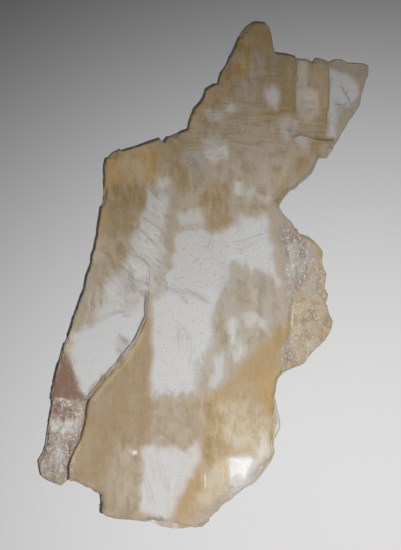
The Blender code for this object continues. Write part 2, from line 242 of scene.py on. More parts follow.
# Zones over the photograph, painted in this order: (look, edge softness in pixels, strength,
# outline in pixels)
ZONES = [
    # the far end
    (BROWN, 9, 0.9, [(243, 22), (270, 24), (273, 55), (298, 58), (298, 120), (270, 122), (240, 108),
                     (218, 120), (190, 128), (188, 112), (215, 85), (235, 40)]),
    (AMBER, 8, 0.45, [(243, 22), (270, 22), (272, 54), (256, 58), (246, 50)]),
    (AMBER, 8, 0.5, [(234, 62), (240, 38), (250, 40), (250, 60), (236, 84), (220, 100), (216, 88)]),
    (AMBER, 6, 0.7, [(188, 136), (190, 112), (204, 90), (214, 88), (212, 105), (200, 124)]),
    (ORANGE, 4, 0.75, [(240, 62), (250, 57), (253, 70), (246, 77), (238, 72)]),
    (ORANGE, 4, 0.6, [(203, 96), (211, 93), (213, 101), (206, 105)]),
    (IVORY, 4, 0.45, [(250, 57), (254, 56), (254, 74), (250, 72)]),
    (HAZE, 7, 0.7, [(254, 64), (266, 62), (266, 92), (258, 112), (238, 104), (236, 86), (250, 80)]),
    (OLIVE, 4, 0.9, [(266, 60), (297, 62), (296, 108), (284, 118), (278, 94), (264, 90)]),
    (BEIGE, 4, 0.5, [(270, 76), (277, 74), (279, 88), (271, 90)]),
    (WARM, 3, 0.9, [(297, 64), (308, 66), (309, 82), (306, 92), (318, 94), (319, 106), (316, 118),
                    (301, 121), (296, 104)]),
    (SMOKE, 3, 0.6, [(298, 82), (304, 84), (303, 93), (298, 92)]),
    (SMOKE, 3, 0.55, [(296, 110), (306, 107), (314, 110), (308, 116), (298, 115)]),
    (OLIVE, 3, 0.95, [(309, 62), (328, 64), (328, 84), (327, 120), (320, 150), (312, 150), (318, 116),
                      (319, 94), (309, 90)]),
    (GOLD, 4, 0.75, [(311, 72), (318, 67), (326, 70), (326, 82), (318, 86), (311, 82)]),
    (GOLD, 4, 0.8, [(310, 64), (328, 66), (328, 112), (319, 112), (319, 94), (310, 90)]),
    (IVORY, 4, 0.3, [(310, 66), (327, 68), (327, 110), (320, 110), (319, 94), (310, 88)]),
    (ORANGE, 4, 0.5, [(318, 111), (325, 110), (323, 121), (317, 122)]),
    (BEIGE, 5, 0.9, [(329, 62), (368, 66), (366, 90), (352, 110), (338, 140), (326, 150), (328, 100)]),
    (PINK, 4, 0.45, [(358, 62), (369, 64), (366, 90), (358, 96)]),
    (CLEAR, 3, 0.92, [(329, 71), (341, 69), (350, 78), (357, 90), (357, 99), (349, 107), (340, 117),
                      (334, 138), (327, 139), (329, 104)]),
    (SMOKE, 4, 0.35, [(333, 108), (345, 106), (342, 117), (333, 120)]),
    (SMOKE, 4, 0.2, [(329, 119), (339, 117), (335, 137), (328, 138)]),
    (BEIGE, 6, 0.6, [(342, 112), (354, 104), (338, 142), (330, 152), (327, 142), (336, 128)]),
    (BROWN, 14, 0.3, [(196, 100), (300, 104), (322, 124), (316, 146), (240, 152), (192, 150)]),
    (HAZE, 16, 0.12, [(214, 92), (262, 66), (264, 108), (304, 122), (308, 150), (240, 170), (190, 146)]),
    (MILKY, 4, 0.9, [(267, 94), (278, 90), (281, 100), (277, 111), (266, 108)]),
    (MILKY, 4, 0.5, [(276, 120), (290, 117), (298, 124), (290, 136), (278, 132)]),
    (WHITE, 3, 0.8, [(223, 110), (233, 107), (235, 115), (227, 118)]),
    (MILKY, 4, 0.7, [(208, 112), (224, 114), (222, 124), (210, 122)]),
    (MILKY, 5, 0.55, [(205, 136), (220, 136), (219, 146), (206, 146)]),
    (MILKY, 4, 0.5, [(296, 137), (308, 138), (307, 149), (297, 150)]),
    (OLIVE, 4, 0.75, [(309, 141), (328, 140), (322, 152), (300, 174), (296, 168), (308, 154)]),
    (BROWN, 6, 0.7, [(326, 150), (320, 158), (304, 176), (290, 190), (278, 206), (272, 200),
                     (284, 184), (300, 166), (312, 150)]),
    # the middle
    (BROWN, 8, 0.75, [(160, 140), (184, 134), (200, 138), (200, 176), (184, 192), (170, 186),
                      (164, 172)]),
    (BROWN, 8, 0.65, [(204, 184), (232, 182), (234, 214), (230, 230), (212, 236), (204, 224)]),
    (BEIGE, 8, 0.6, [(240, 200), (272, 204), (270, 218), (234, 219)]),
    (AMBER, 6, 0.85, [(104, 156), (152, 141), (161, 146), (162, 172), (150, 186), (112, 190),
                      (106, 214), (99, 232), (103, 190)]),
    (IVORY, 4, 0.5, [(122, 160), (132, 155), (144, 160), (147, 172), (138, 178), (130, 168)]),
    (ORANGE, 5, 0.35, [(106, 160), (117, 158), (119, 172), (108, 176)]),
    (ORANGE, 5, 0.45, [(101, 190), (112, 192), (110, 206), (100, 208)]),
    (BROWN, 9, 0.9, [(112, 186), (150, 182), (150, 200), (138, 240), (118, 246), (106, 232)]),
    (DARK, 9, 0.16, [(112, 186), (150, 182), (150, 200), (138, 240), (118, 246), (106, 232)]),
    (AMBER, 4, 0.6, [(101, 206), (109, 200), (108, 224), (100, 240), (94, 250)]),
    (BEIGE, 8, 0.75, [(98, 238), (128, 240), (138, 260), (118, 290), (92, 318), (78, 320)]),
    (IVORY, 5, 0.5, [(95, 240), (104, 240), (98, 262), (88, 282), (86, 272)]),
    (BROWN, 6, 0.45, [(106, 244), (124, 246), (132, 266), (118, 274), (108, 262)]),
    (PINK, 4, 0.35, [(94, 280), (99, 280), (97, 312), (91, 312)]),
    (MILKY, 5, 0.9, [(150, 190), (168, 186), (170, 205), (168, 240), (164, 284), (148, 300),
                     (124, 314), (96, 324), (108, 290), (126, 276), (134, 250), (146, 218)]),
    (WHITE, 3, 0.85, [(157, 182), (168, 174), (169, 186), (160, 188)]),
    (SMOKE, 3, 0.5, [(156, 188), (169, 187), (168, 196), (156, 197)]),
    (WHITE, 4, 0.6, [(149, 198), (168, 197), (168, 216), (150, 214)]),
    (WHITE, 4, 0.75, [(143, 230), (162, 228), (166, 252), (156, 256), (142, 246)]),
    (WHITE, 4, 0.75, [(134, 262), (148, 266), (155, 278), (140, 279), (133, 272)]),
    (SMOKE, 6, 0.5, [(122, 272), (134, 278), (146, 282), (142, 292), (126, 294), (120, 284)]),
    (WHITE, 5, 0.5, [(108, 278), (120, 278), (118, 296), (108, 298)]),
    (BEIGE, 5, 0.75, [(168, 196), (177, 200), (177, 232), (174, 268), (164, 290), (166, 262),
                      (170, 240)]),
    (SMOKE, 6, 0.45, [(184, 152), (206, 152), (206, 178), (190, 180)]),
    (WHITE, 4, 0.8, [(206, 150), (227, 146), (229, 160), (216, 161), (205, 156)]),
    (WHITE, 2, 0.85, [(235, 184), (243, 184), (244, 196), (236, 197)]),
    (MILKY, 3, 0.6, [(245, 188), (256, 190), (256, 199), (246, 198)]),
    (WHITE, 3, 0.8, [(258, 195), (268, 196), (270, 203), (259, 202)]),
    (MILKY, 4, 0.8, [(178, 214), (204, 212), (206, 228), (180, 226)]),
    (IVORY, 3, 0.5, [(262, 166), (268, 166), (267, 182), (262, 182)]),
    (IVORY, 3, 0.45, [(283, 172), (289, 170), (284, 188), (279, 188)]),
    (CLEAR, 4, 0.97, [(177, 233), (214, 235), (228, 226), (236, 219), (268, 219), (268, 240),
                      (274, 252), (275, 267), (284, 283), (264, 274), (250, 267), (234, 266),
                      (229, 285), (221, 302), (214, 322), (212, 345), (207, 370), (200, 397),
                      (190, 393), (170, 398), (154, 396), (155, 302), (166, 292), (174, 270)]),
    (SMOKE, 3, 0.16, [(177, 236), (230, 236), (230, 290), (176, 292)]),
    (PINK, 3, 0.35, [(232, 218), (243, 218), (243, 231), (234, 231)]),
    (SMOKE, 3, 0.35, [(160, 290), (190, 290), (212, 302), (204, 306), (186, 296), (160, 296)]),
    # right of the clear middle
    (GOLD, 5, 0.6, [(240, 284), (248, 284), (247, 312), (236, 312)]),
    (IVORY, 4, 0.7, [(250, 284), (256, 290), (258, 310), (250, 312)]),
    (HAZE, 6, 0.8, [(258, 284), (288, 284), (290, 306), (272, 318), (260, 306)]),
    (SMOKE, 12, 0.35, [(228, 266), (288, 284), (288, 316), (248, 350), (220, 362)]),
    (MILKY, 4, 0.8, [(244, 312), (256, 310), (268, 316), (267, 330), (254, 322), (244, 328)]),
    (MILKY, 4, 0.85, [(228, 322), (241, 320), (240, 346), (230, 348)]),
    (WHITE, 4, 0.5, [(264, 270), (272, 270), (282, 282), (276, 286)]),
    (CLEAR, 4, 0.8, [(217, 352), (228, 352), (227, 370), (220, 388), (211, 384)]),
    (MILKY, 4, 0.7, [(236, 344), (246, 348), (242, 360), (234, 358)]),
    (BEIGE, 5, 0.6, [(200, 362), (212, 366), (210, 392), (198, 400)]),
    (GOLD, 3, 0.95, [(291, 310), (291, 340), (284, 372), (276, 384), (275, 400), (276, 440),
                     (246, 452), (232, 452), (228, 482), (206, 500), (178, 527), (170, 520),
                     (176, 500), (190, 478), (202, 452), (206, 400), (232, 378), (262, 343)]),
    (HONEYED, 8, 0.35, [(291, 312), (290, 342), (270, 380), (236, 384), (262, 345)]),
    (ORANGE, 7, 0.35, [(262, 372), (276, 372), (276, 402), (266, 404)]),
    (HAZE, 7, 0.5, [(232, 384), (262, 384), (258, 404), (236, 408)]),
    (IVORY, 6, 0.85, [(224, 400), (234, 404), (240, 430), (262, 426), (270, 440), (240, 448),
                      (226, 444)]),
    (IVORY, 12, 0.45, [(216, 396), (264, 404), (274, 420), (272, 444), (230, 450), (214, 440)]),
    (IVORY, 7, 0.9, [(204, 474), (226, 462), (228, 486), (214, 502), (196, 500)]),
    (OLIVE, 6, 0.45, [(206, 402), (216, 396), (220, 430), (216, 456), (206, 452)]),
    # the near left
    (HONEYED, 3, 0.97, [(148, 296), (153, 300), (153, 395), (152, 440), (146, 452), (142, 517),
                        (103, 509), (100, 492), (90, 478), (70, 474), (74, 455), (86, 420), (90, 398),
                        (104, 380), (128, 354), (141, 334)]),
    (GOLD, 5, 0.5, [(88, 406), (96, 430), (84, 462), (72, 472), (74, 455), (86, 420)]),
    (GOLD, 4, 0.5, [(92, 398), (104, 382), (128, 356), (142, 334), (149, 312), (150, 338), (132, 360),
                    (108, 388), (98, 404)]),
    (PINK, 7, 0.35, [(92, 400), (108, 398), (110, 412), (92, 420)]),
    (HAZE, 9, 0.75, [(118, 440), (144, 444), (142, 520), (108, 510), (106, 480)]),
    (BEIGE, 8, 0.5, [(84, 444), (96, 446), (92, 462), (84, 460)]),
    (BEIGE, 6, 0.85, [(156, 398), (204, 396), (200, 442), (178, 440), (150, 444)]),
    (OLIVE, 7, 0.4, [(180, 404), (202, 402), (200, 424), (184, 424)]),
    (HAZE, 6, 0.6, [(156, 398), (188, 396), (184, 408), (158, 410)]),
    (MILKY, 3, 0.95, [(144, 444), (176, 441), (190, 447), (203, 440), (201, 456), (192, 473),
                      (182, 486), (174, 517), (143, 510)]),
    (CLEAR, 3, 0.6, [(146, 450), (172, 446), (184, 462), (176, 484), (171, 514), (146, 506)]),
    (CLEAR, 3, 0.98, [(78, 331), (97, 324), (124, 312), (138, 308), (149, 294), (149, 318),
                      (141, 338), (128, 354), (103, 381), (90, 397), (81, 386), (74, 370), (73, 352)]),
    (SMOKE, 4, 0.3, [(124, 300), (146, 296), (142, 318), (130, 316)]),
    (SMOKE, 4, 0.5, [(119, 334), (128, 338), (130, 346), (122, 358), (116, 352)]),
    (IVORY, 3, 0.6, [(66, 338), (76, 328), (78, 344), (74, 356), (68, 348)]),
    (RED, 2, 0.9, [(66, 348), (73, 364), (81, 386), (90, 398), (88, 402), (50, 400), (56, 378)]),
    (LILAC, 2, 0.95, [(50, 399), (89, 399), (86, 422), (75, 452), (71, 476), (60, 486), (38, 480),
                      (34, 462), (46, 436)]),
    (RED, 3, 0.7, [(50, 404), (62, 406), (74, 412), (72, 419), (50, 418)]),
    (BEIGE, 4, 0.6, [(76, 398), (90, 398), (86, 418), (78, 416)]),
    (WHITE, 3, 0.8, [(52, 421), (80, 420), (76, 434), (52, 430)]),
    (WHITE, 3, 0.6, [(58, 448), (64, 448), (63, 470), (57, 470)]),
    # the shelf
    (TAN, 2, 0.95, [(284, 236), (300, 228), (332, 250), (340, 325), (318, 352), (282, 372),
                    (287, 345), (293, 310), (296, 290), (305, 268), (300, 248)]),
    (GLITTER, 3, 0.9, [(276, 232), (302, 236), (307, 262), (300, 284), (294, 294), (286, 286),
                       (284, 262)]),
    (GLITTER, 2, 0.9, [(284, 338), (294, 340), (292, 356), (282, 372)]),
    (SMOKE, 3, 0.6, [(304, 252), (314, 252), (315, 264), (306, 270), (302, 262)]),
    (BROWN, 5, 0.4, [(322, 246), (334, 258), (340, 330), (320, 352), (314, 342), (328, 320),
                     (326, 268)]),
    (SMOKE, 4, 0.4, [(300, 270), (318, 272), (322, 290), (304, 296)]),
    (MILKY, 3, 0.5, [(288, 250), (296, 246), (298, 262), (292, 280), (288, 274)]),
    (IVORY, 5, 0.4, [(296, 300), (308, 302), (304, 326), (294, 332)]),
    (OLIVE, 3, 0.4, [(322, 318), (334, 316), (328, 330), (318, 334)]),
    # the near rim
    (CLEAR, 2, 0.9, [(229, 457), (261, 456), (264, 458), (244, 484), (230, 486)]),
    # painted highlights: the lamp's glare near the rim
    (LAMPLIT, 5, 0.7, [(256, 446), (268, 440), (271, 452), (262, 460)]),
    (LAMPLIT, 4, 0.45, [(234, 468), (252, 462), (244, 480), (234, 480)]),
    (BEIGE, 2, 0.7, [(200, 512), (212, 500), (236, 488), (256, 470), (272, 452), (278, 454),
                     (264, 476), (238, 500), (214, 514)]),
    (MILKY, 4, 0.45, [(226, 490), (258, 472), (276, 452), (278, 460), (262, 478), (236, 500)]),
    (MILKY, 2, 0.8, [(144, 517), (176, 519), (178, 530), (150, 528)]),
    (PINK, 3, 0.6, [(158, 520), (174, 522), (172, 530), (158, 528)]),
    (CLEAR, 1.5, 0.95, [(274, 392), (284, 392), (284, 436), (274, 440), (277, 420)]),
    # bright glints, painted into the tint as highlights
    (PAINTED_STAR_GLINT, 1.2, 1.0, [(133.8, 448.2), (137.6, 448.2), (137.6, 451.6), (133.8, 451.6)]),
    (PAINTED_STAR_GLINT, 1.0, 1.0, [(153.6, 518.4), (156.6, 518.4), (156.6, 520.8), (153.6, 520.8)]),
    (PAINTED_STAR_GLINT, 0.8, 0.9, [(204.0, 470), (205.4, 470), (205.2, 485), (204.0, 485)]),
]

# Thin strokes over the photograph: (look, width in pixels, strength, points in pixels)
STROKES = [
    # curved marks in the far window and bands
    (WHITE, 2.6, 0.7, [(303, 96), (308, 100), (314, 99)]),
    (WHITE, 2.2, 0.6, [(306, 107), (312, 109), (317, 106)]),
    (SMOKE, 2.2, 0.7, [(299, 101), (306, 104), (314, 103)]),
    (SMOKE, 2.0, 0.6, [(299, 86), (304, 88), (308, 84)]),
    (WHITE, 2.0, 0.6, [(330, 108), (334, 112), (333, 120)]),
    (SMOKE, 2.4, 0.6, [(330, 124), (335, 126), (334, 132)]),
    (DARK, 1.4, 0.5, [(334, 104), (342, 106), (349, 104)]),
    (IVORY, 1.6, 0.5, [(286, 66), (289, 76), (288, 90)]),
    (DARK, 1.3, 0.6, [(340, 87), (346, 98), (351, 106), (356, 101), (360, 95)]),
    (DARK, 1.2, 0.5, [(335, 112), (340, 109), (345, 110)]),
    (SMOKE, 1.4, 0.6, [(335, 116), (340, 118), (345, 114)]),
    (DARK, 2.0, 0.5, [(328, 66), (328.5, 90), (327, 112)]),
    (DARK, 1.6, 0.45, [(240, 78), (250, 80), (262, 79)]),
    (DARK, 1.6, 0.35, [(243, 103), (254, 105), (264, 104)]),
    (DARK, 1.4, 0.35, [(262, 92), (280, 91), (296, 92)]),
    (DARK, 2.0, 0.5, [(283, 129), (294, 133), (304, 134), (320, 139), (331, 139)]),
    (SMOKE, 2.2, 0.6, [(286, 134), (300, 136), (312, 139)]),
    (DARK, 1.6, 0.45, [(222, 138), (234, 143), (250, 146), (262, 143)]),
    (DARK, 1.6, 0.35, [(256, 141), (270, 144), (286, 145)]),
    (DARK, 1.5, 0.3, [(208, 130), (224, 131), (240, 129)]),
    (DARK, 1.5, 0.3, [(250, 126), (266, 128), (280, 126)]),
    (IVORY, 1.6, 0.6, [(292, 141), (300, 138), (307, 142)]),
    (IVORY, 2.0, 0.5, [(284, 122), (292, 124), (300, 122)]),
    # the fan and the dark ridges beside it
    (WHITE, 1.6, 0.8, [(228, 158), (216, 154), (206, 150)]),
    (WHITE, 1.6, 0.8, [(228, 156), (218, 150), (212, 146)]),
    (WHITE, 1.6, 0.7, [(228, 160), (216, 160), (205, 157)]),
    (SMOKE, 1.2, 0.7, [(226, 157), (216, 157), (206, 154)]),
    (SMOKE, 1.5, 0.6, [(186, 164), (194, 158), (204, 160)]),
    (SMOKE, 1.5, 0.6, [(188, 170), (196, 163), (206, 165)]),
    (SMOKE, 1.5, 0.6, [(192, 175), (199, 169), (207, 171)]),
    (MILKY, 1.4, 0.6, [(184, 156), (192, 152), (202, 154)]),
    (MILKY, 1.2, 0.5, [(187, 167), (195, 161), (205, 162)]),
    (MILKY, 1.6, 0.5, [(229, 162), (234, 167), (238, 172)]),
    # the feathered strip
    (SMOKE, 2.2, 0.7, [(141, 227), (149, 238), (160, 248), (165, 262)]),
    (WHITE, 2.4, 0.7, [(146, 236), (152, 244), (160, 253)]),
    (WHITE, 2.0, 0.6, [(152, 229), (158, 234), (163, 241)]),
    (SMOKE, 1.8, 0.7, [(152, 222), (158, 228), (165, 232)]),
    (SMOKE, 2.4, 0.7, [(133, 254), (146, 260), (154, 270), (158, 280)]),
    (WHITE, 2.4, 0.8, [(137, 264), (146, 269), (154, 277)]),
    (SMOKE, 2.2, 0.6, [(126, 268), (136, 280), (150, 284)]),
    (SMOKE, 1.6, 0.6, [(138, 290), (146, 294), (150, 300)]),
    (WHITE, 2.0, 0.6, [(140, 284), (148, 288), (156, 292)]),
    (BEIGE, 2.0, 0.5, [(160, 270), (166, 280), (168, 292)]),
    (SMOKE, 1.8, 0.5, [(152, 204), (156, 210), (155, 218)]),
    # streaks and cracks of the left side
    (BEIGE, 2.0, 0.6, [(104, 282), (103, 300), (98, 316)]),
    (WHITE, 1.8, 0.6, [(92, 290), (91, 306), (86, 322)]),
    (WHITE, 1.6, 0.5, [(99, 286), (99, 302), (94, 318)]),
    (SMOKE, 1.8, 0.6, [(84, 329), (95, 327), (106, 318), (117, 313), (126, 311)]),
    (DARK, 1.0, 0.6, [(112, 315), (119, 312), (126, 311), (128, 316), (136, 316)]),
    (SMOKE, 1.4, 0.5, [(126, 298), (128, 306), (132, 316)]),
    (DARK, 1.4, 0.9, [(122, 333), (124, 340), (128, 347)]),
    (DARK, 1.2, 0.8, [(126, 337), (129, 342), (131, 345)]),
    (DARK, 1.1, 0.7, [(117, 350), (121, 353), (124, 356)]),
    (SMOKE, 1.6, 0.8, [(126, 336), (128, 342), (131, 346)]),
    (SMOKE, 1.3, 0.8, [(118, 348), (121, 353), (124, 356)]),
    (IVORY, 1.8, 0.7, [(72, 330), (75, 340), (76, 352), (80, 366)]),
    (PINK, 1.6, 0.6, [(74, 372), (80, 378), (86, 388)]),
    # the crack across the clear middle, and its hairs
    (SMOKE, 1.8, 0.8, [(190, 290), (197, 296), (206, 303), (213, 305)]),
    (SMOKE, 1.6, 0.7, [(184, 297), (190, 302), (192, 305)]),
    (SMOKE, 1.8, 0.5, [(156, 293), (168, 291), (182, 293), (192, 291)]),
    (SMOKE, 1.4, 0.6, [(234, 246), (246, 244), (258, 240), (268, 238)]),
    (SMOKE, 1.4, 0.5, [(234, 252), (248, 251), (260, 247)]),
    (DARK, 1.1, 0.6, [(213, 242), (212, 249), (210, 254)]),
    (DARK, 0.9, 0.5, [(206, 238), (206, 243)]),
    (DARK, 1.2, 0.5, [(207, 251), (210, 250)]),
    (DARK, 1.2, 0.5, [(222, 244), (225, 242)]),
    (DARK, 1.2, 0.5, [(223, 256), (226, 258)]),
    (DARK, 0.8, 0.45, [(182, 321), (181, 336), (182, 352)]),
    (DARK, 0.8, 0.45, [(187, 326), (190, 338), (191, 345)]),
    (DARK, 1.3, 0.45, [(183, 326), (186, 325)]),
    (DARK, 0.8, 0.4, [(174, 337), (180, 342)]),
    (DARK, 0.8, 0.4, [(159, 328), (163, 338)]),
    (DARK, 0.8, 0.4, [(194, 346), (195, 352), (193, 368)]),
    (DARK, 0.8, 0.4, [(183, 384), (189, 383), (191, 380)]),
    (SMOKE, 3.0, 0.4, [(166, 388), (172, 392), (180, 394)]),
    # the patchwork right of the middle
    (IVORY, 1.8, 0.6, [(249, 284), (252, 298), (250, 310)]),
    (SMOKE, 1.6, 0.5, [(250, 308), (256, 314), (262, 318)]),
    (WHITE, 2.4, 0.6, [(232, 318), (234, 332), (230, 346)]),
    (WHITE, 2.2, 0.6, [(242, 336), (240, 350), (234, 362)]),
    (BROWN, 2.4, 0.4, [(222, 310), (226, 328), (222, 344)]),
    (BEIGE, 2.4, 0.5, [(206, 352), (208, 372), (204, 392)]),
    # veins of the golden part, and glints painted into the tint as highlights
    (IVORY, 2.6, 0.6, [(262, 404), (258, 416), (262, 428)]),
    (IVORY, 2.2, 0.6, [(244, 402), (246, 416), (242, 428)]),
    (MILKY, 1.8, 0.6, [(232, 434), (240, 438), (252, 436)]),
    (WHITE, 1.4, 0.7, [(226, 424), (230, 430), (229, 438)]),
    (MILKY, 2.2, 0.5, [(274, 408), (272, 420), (270, 432)]),
    (BROWN, 1.6, 0.6, [(291, 296), (291, 312), (288, 345), (284, 372)]),
    # a painted highlight beside the shelf's edge
    (LAMPLIT, 1.2, 0.8, [(293, 300), (292, 314), (290, 330)]),
    (IVORY, 2.6, 0.6, [(228, 398), (226, 412), (232, 430)]),
    (IVORY, 2.2, 0.5, [(214, 402), (217, 420), (214, 440)]),
    (BROWN, 2.4, 0.4, [(209, 404), (212, 424), (210, 446)]),
    (IVORY, 1.8, 0.5, [(203, 388), (201, 408), (204, 424)]),
    # short white strokes: painted glints
    (WHITE, 1.2, 0.8, [(232, 415), (233, 421)]),
    (WHITE, 1.2, 0.8, [(239, 425), (244, 424), (247, 419)]),
    (WHITE, 1.0, 0.7, [(255, 408), (256, 420), (258, 432)]),
    (WHITE, 1.3, 0.8, [(256, 431), (262, 432), (268, 430)]),
    # a painted glint along a needle
    (LAMPLIT, 1.2, 1.0, [(204.8, 471), (204.6, 484)]),
    (IVORY, 1.6, 0.7, [(198, 492), (206, 500), (216, 496)]),
    (WHITE, 1.6, 0.7, [(192, 499), (194, 502)]),
    (IVORY, 1.2, 0.6, [(212, 462), (220, 468), (226, 474)]),
    (WHITE, 2.0, 0.6, [(242, 484), (252, 478), (262, 466)]),
    (BROWN, 1.8, 0.5, [(228, 484), (244, 484), (262, 468), (272, 452)]),
    (SMOKE, 1.4, 0.5, [(232, 466), (238, 474), (239, 482)]),
    # the honey part and the lower window
    # a painted star-like glint
    (PAINTED_STAR_GLINT, 3.4, 1.0, [(135, 449.5), (136.4, 449.5)]),
    (IVORY, 1.4, 0.6, [(124, 448), (130, 454), (129, 462)]),
    (IVORY, 1.2, 0.6, [(130, 476), (136, 486), (141, 494)]),
    (IVORY, 1.2, 0.5, [(127, 466), (126, 480), (126, 496)]),
    (IVORY, 1.0, 0.4, [(120, 500), (119, 514)]),
    (WHITE, 1.3, 0.6, [(158, 438), (162, 434), (166, 436)]),
    (IVORY, 2.2, 0.7, [(88, 418), (80, 440), (74, 462)]),
    (IVORY, 2.0, 0.6, [(94, 400), (110, 380), (130, 358), (146, 330)]),
    (SMOKE, 2.0, 0.5, [(146, 470), (152, 486), (156, 504)]),
    (SMOKE, 2.0, 0.45, [(160, 452), (164, 470), (172, 490)]),
    (SMOKE, 1.6, 0.4, [(150, 450), (156, 464), (160, 480)]),
    (WHITE, 2.2, 0.6, [(174, 476), (172, 492), (171, 506)]),
    (BEIGE, 2.6, 0.5, [(176, 440), (186, 446), (192, 456)]),
    (SMOKE, 2.0, 0.8, [(140, 514), (158, 516), (178, 517)]),
    (DARK, 1.0, 0.6, [(153, 509), (158, 511)]),
    # a painted glint
    (LAMPLIT, 2.0, 1.0, [(154.5, 519.5), (155.8, 519.5)]),
    # the rough corner and the shelf
    (RED, 2.0, 0.5, [(54, 404), (60, 412), (70, 416)]),
    (WHITE, 1.6, 0.7, [(56, 399), (64, 397), (72, 402)]),
    (WHITE, 1.2, 0.8, [(68, 401), (71, 404)]),
    (WHITE, 1.2, 0.7, [(53, 433), (57, 437)]),
    (DARK, 1.4, 0.4, [(60, 446), (70, 442), (78, 438)]),
    (IVORY, 1.4, 0.8, [(294, 298), (302, 299), (308, 302)]),
    (IVORY, 1.4, 0.8, [(318, 306), (326, 307)]),
    (BROWN, 1.2, 0.5, [(292, 292), (310, 302), (326, 305)]),
    (DARK, 1.8, 0.7, [(302, 235), (307, 236), (310, 237)]),
]

# Patches with a pattern of their own: (edge softness in pixels, strength, outline in pixels)
STREAKED = [
    (16, 1.0, [(196, 96), (300, 100), (334, 118), (322, 152), (240, 156), (186, 160), (184, 130)]),
    (10, 0.6, [(236, 56), (300, 66), (300, 104), (220, 108), (216, 92)]),
    (10, 0.8, [(330, 100), (346, 100), (336, 142), (326, 142)]),
    (14, 0.6, [(180, 180), (272, 180), (270, 222), (180, 226)]),
    (6, 0.6, [(234, 236), (270, 236), (272, 266), (234, 264)]),
]
PLUMED = [
    (10, 1.0, [(152, 188), (168, 186), (170, 230), (168, 292), (124, 306), (116, 280), (140, 226)]),
    (12, 0.5, [(98, 244), (130, 244), (122, 300), (90, 320)]),
]
PATCHY = [
    (12, 1.0, [(226, 268), (290, 284), (288, 318), (246, 352), (206, 396), (200, 360), (218, 304)]),
    (14, 0.8, [(104, 150), (176, 136), (190, 190), (150, 200), (106, 214)]),
    (14, 0.75, [(186, 96), (246, 30), (272, 56), (266, 110), (300, 118), (300, 140), (186, 144)]),
    (14, 0.9, [(182, 150), (310, 140), (276, 212), (180, 214)]),
    (14, 0.9, [(206, 398), (276, 392), (276, 446), (228, 452), (226, 486), (196, 506), (176, 524),
               (196, 470)]),
    (12, 0.7, [(150, 396), (206, 396), (204, 446), (148, 446)]),
    (12, 0.5, [(96, 236), (136, 240), (120, 300), (82, 322)]),
    (8, 0.7, [(296, 60), (326, 62), (318, 122), (296, 122)]),
    (8, 0.8, [(48, 400), (88, 400), (72, 478), (38, 478)]),
    (8, 1.0, [(296, 250), (334, 260), (336, 330), (290, 366)]),
    (12, 0.8, [(116, 436), (146, 442), (142, 520), (104, 510)]),
]
# Patches where glints of tiny facets are painted into the tint as highlights
PAINTED_GLITTER_PATCHES = [
    (4, 1.0, [(282, 232), (302, 236), (307, 262), (300, 284), (294, 296), (286, 286), (286, 262)]),
    (3, 1.0, [(284, 338), (296, 340), (293, 360), (282, 372)]),
    (5, 0.8, [(48, 398), (88, 398), (84, 424), (72, 478), (38, 478), (40, 452)]),
    (6, 0.6, [(290, 240), (334, 262), (338, 326), (318, 352), (284, 370), (290, 300)]),
    (6, 0.3, [(222, 408), (274, 412), (272, 444), (230, 446)]),
    (5, 0.6, [(228, 486), (258, 472), (274, 452), (276, 460), (238, 500), (196, 518)]),
    (6, 0.3, [(296, 60), (332, 62), (330, 70), (296, 70)]),
]
FLECKED = [
    (6, 1.0, [(176, 232), (214, 234), (236, 220), (270, 220), (276, 268), (234, 266), (212, 330),
              (200, 396), (156, 396), (156, 300)]),
    (6, 0.4, [(76, 332), (138, 308), (148, 318), (90, 396)]),
    (8, 0.5, [(144, 446), (200, 442), (176, 516), (144, 512)]),
    (8, 0.5, [(328, 70), (358, 92), (334, 140), (326, 138)]),
]

# Rough patches: how high their crumbled relief stands, edge softness and outline in pixels
ROUGH = [
    (0.1 * MM, 5, [(46, 402), (88, 400), (84, 425), (74, 450), (70, 476), (42, 476), (40, 458)]),
    (0.08 * MM, 4, [(280, 234), (302, 238), (306, 262), (298, 286), (294, 296), (284, 286)]),
    (0.07 * MM, 4, [(284, 338), (294, 340), (290, 368), (282, 370)]),
    (0.04 * MM, 6, [(296, 250), (336, 260), (334, 320), (296, 350)]),
]


def plate_xy(px, py):
    """The plate's metres at a pixel of the photograph."""
    return (px - PLATE_CENTRE_PX[0]) * PIXEL, (PLATE_CENTRE_PX[1] - py) * PIXEL


def smooth(values):
    """Eases values from 0 to 1."""
    values = np.clip(values, 0, 1)
    return values * values * (3 - 2 * values)


def lattice_noise(x, y, size_x, size_y, seed):
    """Soft noise from -1 to 1 whose bumps are size_x by size_y."""
    table = np.random.default_rng(seed).uniform(-1, 1, (NOISE_TABLE, NOISE_TABLE))
    u, v = x / size_x + NOISE_SHIFT, y / size_y + NOISE_SHIFT
    column, row = np.floor(u).astype(int), np.floor(v).astype(int)
    u, v = smooth(u - column), smooth(v - row)
    left, right = column % NOISE_TABLE, (column + 1) % NOISE_TABLE
    low, high = row % NOISE_TABLE, (row + 1) % NOISE_TABLE
    near = table[left, low] * (1 - u) + table[right, low] * u
    far = table[left, high] * (1 - u) + table[right, high] * u
    return near * (1 - v) + far * v


def layered(x, y, layers):
    """The sum of some layers of soft noise."""
    return sum(reach * lattice_noise(x, y, *sizes_and_seed) for reach, *sizes_and_seed in layers)


def distance_to(x, y, starts, ends):
    """The distance from each point to the nearest of some segments."""
    nearest = np.full(x.shape, np.inf)
    for (ax, ay), (bx, by) in zip(starts, ends):
        dx, dy = bx - ax, by - ay
        length = max(dx * dx + dy * dy, TINY)
        along = np.clip(((x - ax) * dx + (y - ay) * dy) / length, 0, 1)
        nearest = np.minimum(nearest, np.hypot(x - ax - along * dx, y - ay - along * dy))
    return nearest


def close_to(x, y, corners, reach):
    """Which points lie in the box around some corners, grown by a reach."""
    low, high = np.min(corners, 0) - reach, np.max(corners, 0) + reach
    return np.flatnonzero((x > low[0]) & (x < high[0]) & (y > low[1]) & (y < high[1]))


